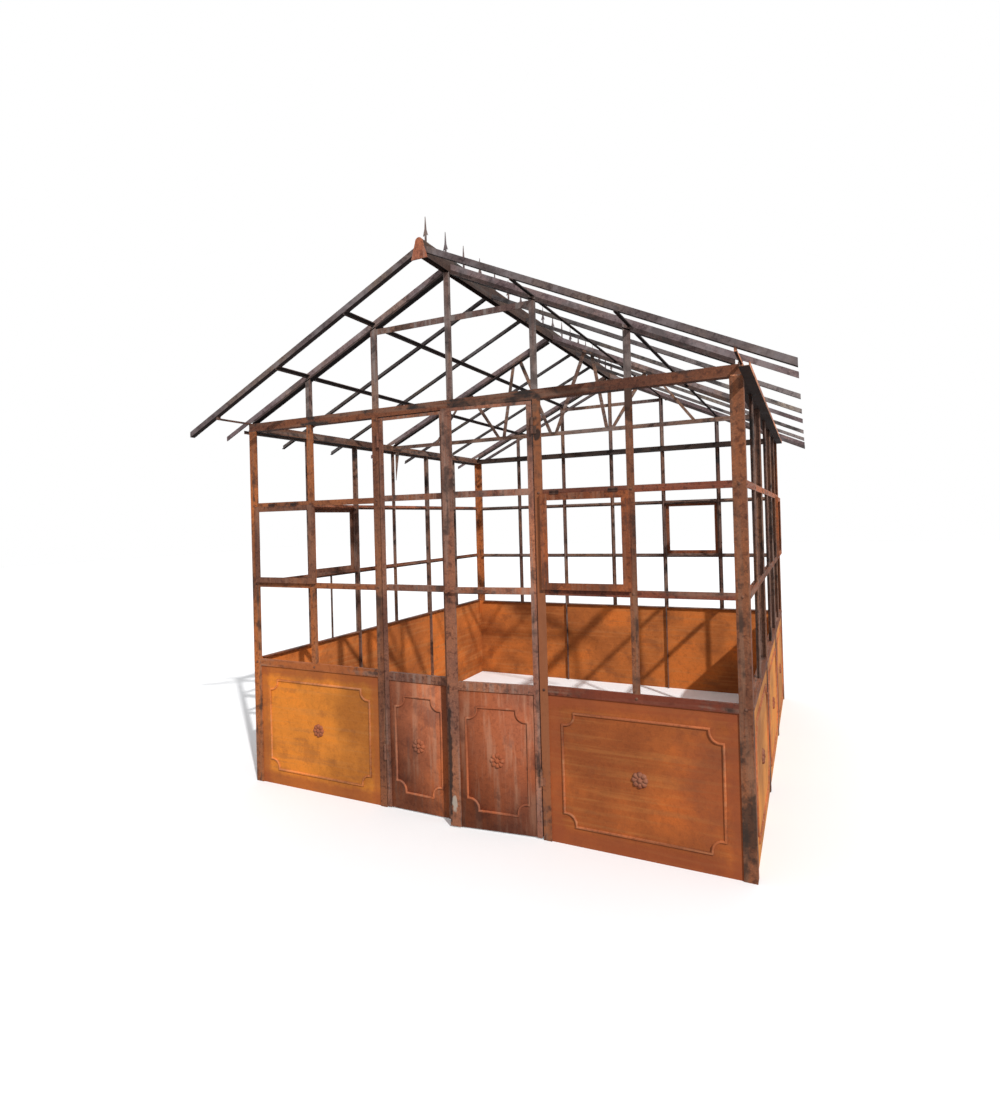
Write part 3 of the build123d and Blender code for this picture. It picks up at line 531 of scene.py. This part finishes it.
def add_piece(name, parts, material, body, smooth=False):
    """One object made of these parts, in this material, riding on a body of the model."""
    points, faces = joined(parts)
    mesh = bpy.data.meshes.new(name)
    mesh.from_pydata(points.tolist(), [], faces)
    mesh.polygons.foreach_set("use_smooth", [smooth] * len(mesh.polygons))
    mesh.materials.append(material)
    piece = bpy.data.objects.new(name, mesh)
    bpy.context.scene.collection.objects.link(piece)
    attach(piece, body)
    return piece


rafter_rust = rusted(
    "rafter_rust", rust=(124, 106, 106), stain=(44, 34, 34), faded=(142, 132, 132),
    streaks=up_the_slope, stain_share=0.6, faded_share=0.6, underside_shade=0.98)
ridge_side = roof_half_width - ridge_half
flange_top = rafter_depth - rafter_iron
web_parts = []
flange_parts = []
for side in (-1, 1):
    for y in rafter_places:
        web_parts += [
            slope_bar(side, y, rafter_iron, 0, ridge_side, 0, rafter_pale_depth),
            slope_bar(side, y, rafter_iron, -rafter_tail, 0, 0, rafter_tail_depth)]
        flange_parts += [
            slope_bar(side, y, rafter_iron, flange_start, ridge_side,
                      rafter_pale_depth, rafter_depth),
            slope_bar(side, y, rafter_flange, flange_start, ridge_side,
                      flange_top, rafter_depth)]
# Painted shade: the lower web and the flange in the dark purlin material.
rafter_flanges = add_piece("rafter_flanges", flange_parts, purlin_rust_and_shade, "frame")
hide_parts("deep_rafters")
rafters = add_piece("rafter_webs", web_parts, rafter_rust, "frame")
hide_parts("deep_rafters")

# The side and rear base panels: pressed sheet between the sill and the ground, ochre, with
# faint level brush lines, a little redder on the left wall.
side_panel_rust = rusted(
    "side_panel_rust", rust=(188, 118, 56), stain=(120, 64, 30), faded=(200, 140, 84),
    streaks=along_the_side, stain_share=0.4, faded_share=0.3, grit=0.3)
by_place(side_panel_rust, "X", -1.0, (192, 106, 44), 1.0, (190, 124, 58))
dress(side_panel_rust, "right_base_panels", "left_base_panels")
rear_panel_rust = rusted(
    "rear_panel_rust", rust=(188, 106, 46), stain=(120, 62, 30), faded=(196, 128, 72),
    streaks=across_the_front, stain_share=0.45, faded_share=0.35, grit=0.3)
dress(rear_panel_rust, "rear_base_panels")

# The front base panels: one pressed sheet on each side of the door, bright ochre on the left
# and browner on the right. The rim outside the bead is redder than the field inside it, and
# the right panel darkens toward the corner post.
panel_face = -1.449
rim_bottom, rim_top = 0.02, 0.69
rim_places = (-1.34, -0.50, 0.52, 1.35)
front_panel_rust = rusted(
    "front_panel_rust", rust=(160, 88, 42), stain=(112, 58, 30), faded=(196, 134, 72),
    streaks=across_the_front, stain_share=0.3, faded_share=0.22, grit=0.25)
by_place(front_panel_rust, "X", -0.5, (204, 124, 42), 0.5, (170, 90, 38))
for rim_height in (rim_bottom, rim_top):
    patch(front_panel_rust, (0, panel_face, rim_height), (9.0, 0.1, 0.07), (140, 66, 34),
          strength=0.6, unevenness=0.7, softness=0.5)
for rim_place in rim_places:
    patch(front_panel_rust, (rim_place, panel_face, 0.35), (0.06, 0.1, 9.0), (144, 70, 36),
          strength=0.55, unevenness=0.7, softness=0.5)
patch(front_panel_rust, (1.24, panel_face, 0.36), (0.22, 0.1, 0.4), (112, 56, 38),
      strength=0.5, unevenness=0.9, softness=0.7)
dress(front_panel_rust, "front_base_panels")

# The beads and rosettes: a half-round line pressed round each panel, its corners stepped in
# and scooped, and in the middle an eight-petalled rosette with a domed boss.
bead_half = 0.006
bead_rise = 0.008
bead_points = 9  # across the bead
corner_step = 0.018
scoop = 0.040
scoop_points = 13  # along each quarter circle
rosette_radius = 0.038
rosette_rise = 0.011
boss_rise = 1.25  # as a share of the petals' rise
sunk = 0.0003  # how far the feet of the bead and rosette lie inside the sheet
panel_bottom_rim = 0.083
panel_height = 0.539
rear_panel_height = 0.524
UP = np.array((0.0, 0.0, 1.0))


def bead_line(width, height):
    """Centre line of the bead, anticlockwise: at each corner a step in, a quarter circle round a
    point one step inside the corner, and a step out. The circle's radius is scoop and half a
    bead."""
    middle = np.array((width / 2 - corner_step, height / 2 - corner_step))
    radius = scoop + bead_half
    turn = np.radians(np.linspace(-90, -180, scoop_points))
    arc = middle + radius * np.stack((np.cos(turn), np.sin(turn)), 1)
    first = (width / 2 - bead_half, middle[1] - radius)
    last = (middle[0] - radius, height / 2 - bead_half)
    corner = np.vstack((first, arc, last))
    return np.vstack((corner, corner[::-1] * (-1, 1), -corner, corner[::-1] * (1, -1)))


def bead(width, height):
    """Half-round line on the plane: the offset across the line is half the width times the cosine,
    and the height the rise times the sine, of an angle from 0 to 180 degrees, mitred at corners."""
    line = bead_line(width, height)
    ahead = np.roll(line, -1, 0) - line
    ahead /= np.linalg.norm(ahead, axis=1)[:, None]
    side = np.stack((ahead[:, 1], -ahead[:, 0]), 1)
    before = np.roll(side, 1, 0)
    sharpest_mitre = 0.6
    mitre = (side + before) / (1 + (side * before).sum(1))[:, None].clip(sharpest_mitre)
    angle = np.linspace(0, math.pi, bead_points)
    flat = line[:, None] + mitre[:, None] * (bead_half * np.cos(angle))[None, :, None]
    rise = np.broadcast_to(bead_rise * np.sin(angle) - sunk, flat.shape[:2])
    points = np.concatenate((flat, rise[..., None]), 2).reshape(-1, 3)
    i, j = np.meshgrid(np.arange(len(line)), np.arange(bead_points - 1), indexing="ij")
    here, after = i * bead_points + j, (i + 1) % len(line) * bead_points + j
    faces = np.stack((here, after, after + 1, here + 1), -1).reshape(-1, 4)
    return points, faces


def rings_surface(top, grid):
    """One surface of a middle point and rings of points round it, from the inside out: a fan of
    triangles to the first ring, then four-cornered faces from ring to ring."""
    rings, turns = grid.shape[:2]
    points = np.vstack((top, grid.reshape(-1, 3)))
    k, m = np.meshgrid(np.arange(rings - 1), np.arange(turns), indexing="ij")
    after = (m + 1) % turns
    inner, outer = 1 + k * turns, 1 + (k + 1) * turns
    quads = np.stack((inner + m, outer + m, outer + after, inner + after), -1).reshape(-1, 4)
    around = np.arange(turns)
    fan = np.stack((np.zeros(turns, int), 1 + around, 1 + (around + 1) % turns), -1)
    return points, [*fan.tolist(), *quads.tolist()]


def rosette_disc():
    """Rosette on the plane: the outline's radius swells eight times round, each petal is a half
    ellipse from boss to rim, deepest on its middle line, and the boss is a dome of its own."""
    rings, turns = 15, 96
    petal_middle, petal_half, boss_share = 0.66, 0.34, 0.36
    notch_share, notch_height = 0.84, 0.55
    share = np.linspace(1 / rings, 1, rings)[:, None]
    theta = np.linspace(0, 2 * math.pi, turns, endpoint=False)[None, :]
    petal = np.abs(np.cos(4 * theta))
    radius = share * rosette_radius * (notch_share + (1 - notch_share) * np.sqrt(petal))
    arch = np.sqrt(np.clip(1 - ((share - petal_middle) / petal_half) ** 2, 0, 1))
    lobe = arch * (notch_height + (1 - notch_height) * petal)
    boss = np.sqrt(np.clip(1 - (share / boss_share) ** 2, 0, 1)) * boss_rise
    height = rosette_rise * np.maximum(lobe, boss) - sunk
    grid = np.stack(
        np.broadcast_arrays(radius * np.cos(theta), radius * np.sin(theta), height), -1)
    return rings_surface((0, 0, rosette_rise * boss_rise), grid)


def on_plane(part, middle, right, outward):
    """The part set up on a plane with this middle: its x to the right, y up, height outward."""
    points, faces = part
    axes = np.stack((np.array(right, float), UP, np.array(outward, float)))
    return points @ axes + np.array(middle), faces


front_face, side_face = 1.449, 1.401
front_ends = ((-1.292, -0.552), (0.558, 1.292))
side_ends = ((-1.340, -0.562), (-0.408, 0.408), (0.562, 1.340))
rear_ends = ((-1.292, -0.546), (-0.392, 0.392), (0.546, 1.292))
trimmed_walls = (
    (front_ends, panel_height, (0, -front_face, 0), (1, 0, 0), (0, -1, 0)),
    (side_ends, panel_height, (side_face, 0, 0), (0, 1, 0), (1, 0, 0)),
    (side_ends, panel_height, (-side_face, 0, 0), (0, -1, 0), (-1, 0, 0)),
    (rear_ends, rear_panel_height, (0, front_face, 0), (-1, 0, 0), (0, 1, 0)),
)
beads, rosettes = [], []
for ends, height, wall_middle, right, outward in trimmed_walls:
    for start, end in ends:
        middle = np.array(wall_middle) + np.array(right, float) * (start + end) / 2
        middle = middle + UP * (panel_bottom_rim + height / 2)
        beads.append(on_plane(bead(end - start, height), middle, right, outward))
        rosettes.append(on_plane(rosette_disc(), middle, right, outward))
bead_rust = rusted(
    "bead_rust", rust=(164, 92, 52), stain=(92, 48, 30), faded=(190, 132, 92),
    streaks=across_the_front, stain_share=0.4, faded_share=0.4, grit=0.5)
by_place(bead_rust, "X", -0.5, (200, 120, 62), 0.5, (168, 94, 54))
pressed_beads = add_piece("pressed_beads", beads, bead_rust, "frame", True)
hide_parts("panel_trim")
rosette_rust = rusted(
    "rosette_rust", rust=(140, 78, 52), stain=(74, 40, 28), faded=(166, 118, 92),
    streaks=across_the_front, stain_share=0.4, faded_share=0.4, grit=0.5)
add_piece("pressed_rosettes", rosettes, rosette_rust, "frame", True)

# The casements: light angle frames hung over the openings between the two cross rails, all
# shut, orange brown beside the door and duller on the left.
casement_rust = rusted(
    "casement_rust", rust=(138, 78, 48), stain=(60, 32, 22), faded=(150, 110, 88),
    streaks=down_the_face, stain_share=0.7, faded_share=0.4)
by_place(casement_rust, "X", -0.9, (116, 75, 55), 0.6, (138, 76, 42))
dress(casement_rust, "casement_stiles", "casement_rails")

# The casement hinges: a pair of dark plates on each front casement's top rail, each under a
# rolled knuckle.
casement_head = 1.651
hinge_places = (-1.22, -1.05, 0.563, 0.846)
hinge_height = 0.010
hinge_left, hinge_right = 0.024, 0.022
hinge_front, hinge_back = 0.019, 0.016
knuckle_radius = 0.005
knuckle_length = 0.044
knuckle_front = 0.018
knuckle_above = 0.004


def block(low, high):
    """Eight corners and six faces of a box between two opposite corners."""
    ends = np.array((low, high))
    numbers = np.arange(8)
    picked = np.stack((numbers // 4, numbers // 2 % 2, numbers % 2), 1)
    return ends[picked, np.arange(3)], BOX_FACES


def knuckle(middle, radius, length):
    """Closed barrel along x: points at equal angles round each end, each offset by the radius
    times the angle's cosine in y and its sine in z."""
    turns = 12
    turn = np.linspace(0, 2 * math.pi, turns, endpoint=False)
    ring = np.stack((np.zeros(turns), radius * np.cos(turn), radius * np.sin(turn)), 1)
    half = np.array((length / 2, 0, 0))
    points = np.vstack((ring - half, ring + half)) + np.array(middle)
    near = np.arange(turns)
    after = (near + 1) % turns
    sides = np.stack((near, after, turns + after, turns + near), 1)
    return points, [*sides.tolist(), near[::-1].tolist(), (turns + near).tolist()]


ironwork_rust = rusted(
    "ironwork_rust", rust=(70, 44, 34), stain=(22, 16, 14), faded=(120, 88, 70),
    streaks=down_the_face, stain_share=0.9, faded_share=0.3)
ironwork = []
for place in hinge_places:
    ironwork += [
        block((place - hinge_left, wall_front - hinge_front, casement_head - hinge_height),
              (place + hinge_right, wall_front - hinge_back, casement_head)),
        knuckle((place, wall_front - knuckle_front, casement_head + knuckle_above),
                knuckle_radius, knuckle_length)]
add_piece("casement_hinges", ironwork, ironwork_rust, "frame")

# The thin bar: what is left of a light glazing bar in the left wall, standing between the
# sill and the lower cross rail.
thin_bar_low = (-1.400, -0.777, 0.735)
thin_bar_high = (-1.394, -0.763, 1.165)
thin_bar_rust = rusted(
    "thin_bar_rust", rust=(96, 72, 62), stain=(26, 20, 18), faded=(130, 112, 102),
    streaks=down_the_face, stain_share=0.9)
thin_bar = [block(thin_bar_low, thin_bar_high)]
add_piece("left_thin_bar", thin_bar, thin_bar_rust, "frame")

# The rivets: low domed heads where the rails cross the posts and uprights, on the front
# and side walls.
rivet_radius = 0.007
rivet_rise = 0.004
rail_levels = (sill_height, 1.181, 1.651)
front_posts = (-1.380, -0.938, -0.472, door_post_place, 0.923, 1.380)
side_posts = (-1.427, -0.970, -0.485, 0.0, 0.485, 0.970, 1.427)


def rivet(middle, right, outward):
    """Rivet head on a plane: at each angle from the top, a ring whose radius is the head's times
    the sine and whose height is the rise times the cosine."""
    angle = np.linspace(0, math.pi / 2, 5)[1:, None]
    turn = np.linspace(0, 2 * math.pi, 12, endpoint=False)[None, :]
    reach = rivet_radius * np.sin(angle)
    grid = np.stack(np.broadcast_arrays(
        reach * np.cos(turn), reach * np.sin(turn), rivet_rise * np.cos(angle)), -1)
    return on_plane(rings_surface((0, 0, rivet_rise), grid), middle, right, outward)


rivets = []
for level in rail_levels:
    for place in front_posts:
        rivets.append(rivet((place, wall_front, level), (1, 0, 0), (0, -1, 0)))
    for place in side_posts:
        for side in (1, -1):
            rivets.append(
                rivet((side * roof_half_width, place, level), (0, side, 0), (side, 0, 0)))
rivet_rust = rusted(
    "rivet_rust", rust=(112, 74, 56), stain=(60, 40, 32), faded=(130, 100, 84),
    streaks=down_the_face, stain_share=0.5, faded_share=0.3)
add_piece("rivet_heads", rivets, rivet_rust, "frame", True)

# The door leaves: angle-iron frames hung on knuckle hinges, grey brown, lighter toward the
# right. A dark line is painted down beside the meeting stile as the shadow in the gap between
# the leaves, with a scrap of pale paint at its foot. The right leaf stands a few degrees open.
leaf_rust = rusted(
    "leaf_rust", rust=(136, 86, 64), stain=(46, 28, 22), faded=(152, 126, 112),
    streaks=down_the_face, stain_share=0.85, faded_share=0.5)
by_place(leaf_rust, "X", -0.05, (122, 80, 62), 0.40, (150, 98, 76))
# Painted shadow in the gap beside the meeting stile.
patch(leaf_rust, (-0.016, -1.52, 0.36), (0.016, 1.0, 0.4), (38, 25, 20), strength=0.9)
patch(leaf_rust, (0.005, -1.52, 0.12), (0.016, 0.06, 0.05), (170, 160, 146), strength=0.75)
dress(leaf_rust, "left_leaf_stiles", "right_leaf_stiles", "left_leaf_rails", "right_leaf_rails")
hinge_rust = rusted(
    "hinge_rust", rust=(124, 78, 58), stain=(44, 28, 22), faded=(146, 118, 100),
    streaks=down_the_face)
dress(hinge_rust, "left_leaf_knuckles", "right_leaf_knuckles", "door_hinge_pins", "latch_lever")

# The leaves' base panels: pressed sheet set in each leaf's frame, red brown with pale streaks
# running down, with the same bead and rosette as the walls' panels.
down_the_sheet = (30.0, 30.0, 3.0)
leaf_panel_rust = rusted(
    "leaf_panel_rust", rust=(158, 88, 56), stain=(96, 48, 32), faded=(176, 126, 98),
    streaks=down_the_sheet, stain_share=0.6, faded_share=0.5, grit=0.4)
by_place(leaf_panel_rust, "X", -0.1, (172, 98, 62), 0.1, (142, 78, 50))
dress(leaf_panel_rust, "left_leaf_panel", "right_leaf_panel")
leaf_sheet = 0.003
leaf_sheet_foot, leaf_sheet_head = 0.008, 0.722
leaf_sheet_start = 0.00775
left_sheet_end, right_sheet_end = 0.41325, 0.47325
leaf_bead_start = 0.05875
left_bead_end, right_bead_end = 0.35525, 0.39025
leaf_bead_height = 0.523
leaf_bead_bottom = 0.091
face_behind_hinge = 0.0125
leaf_turn = math.radians(7)
left_hinge = np.array((-0.44925, -1.4625, 0.0))
right_hinge = np.array((0.45525, -1.4625, 0.0))


def leaf_panel(hinge, along, back, toward, sheet_end, bead_end):
    """Sheet, bead and rosette of one leaf. Distances run along the leaf from the hinge's middle,
    which the sheet's outer face stands behind. Toward is 1 where the leaf runs to the right from
    its hinge, and -1 where it runs to the left."""
    face = hinge + back * face_behind_hinge
    corners = np.array([
        face + along * x + UP * z + back * depth
        for depth in (0, leaf_sheet) for x in (leaf_sheet_start, sheet_end)
        for z in (leaf_sheet_foot, leaf_sheet_head)])
    middle = face + along * (leaf_bead_start + bead_end) / 2
    middle = middle + UP * (leaf_bead_bottom + leaf_bead_height / 2)
    right = along * toward
    return [
        (corners, BOX_FACES[:, ::-1] if toward > 0 else BOX_FACES),
        on_plane(bead(bead_end - leaf_bead_start, leaf_bead_height), middle, right, -back),
        on_plane(rosette_disc(), middle, right, -back),
    ]


left_along = np.array((1.0, 0, 0))
left_back = np.array((0, 1.0, 0))
left_panel = add_piece(
    "left_leaf_pressing",
    leaf_panel(left_hinge, left_along, left_back, 1, left_sheet_end, left_bead_end),
    leaf_panel_rust, "left_leaf", True)
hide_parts("left_leaf_panel")
right_along = np.array((-math.cos(leaf_turn), -math.sin(leaf_turn), 0))
right_back = np.array((-math.sin(leaf_turn), math.cos(leaf_turn), 0))
right_panel = add_piece(
    "right_leaf_pressing",
    leaf_panel(right_hinge, right_along, right_back, -1, right_sheet_end, right_bead_end),
    leaf_panel_rust, "right_leaf", True)
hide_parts("right_leaf_panel")
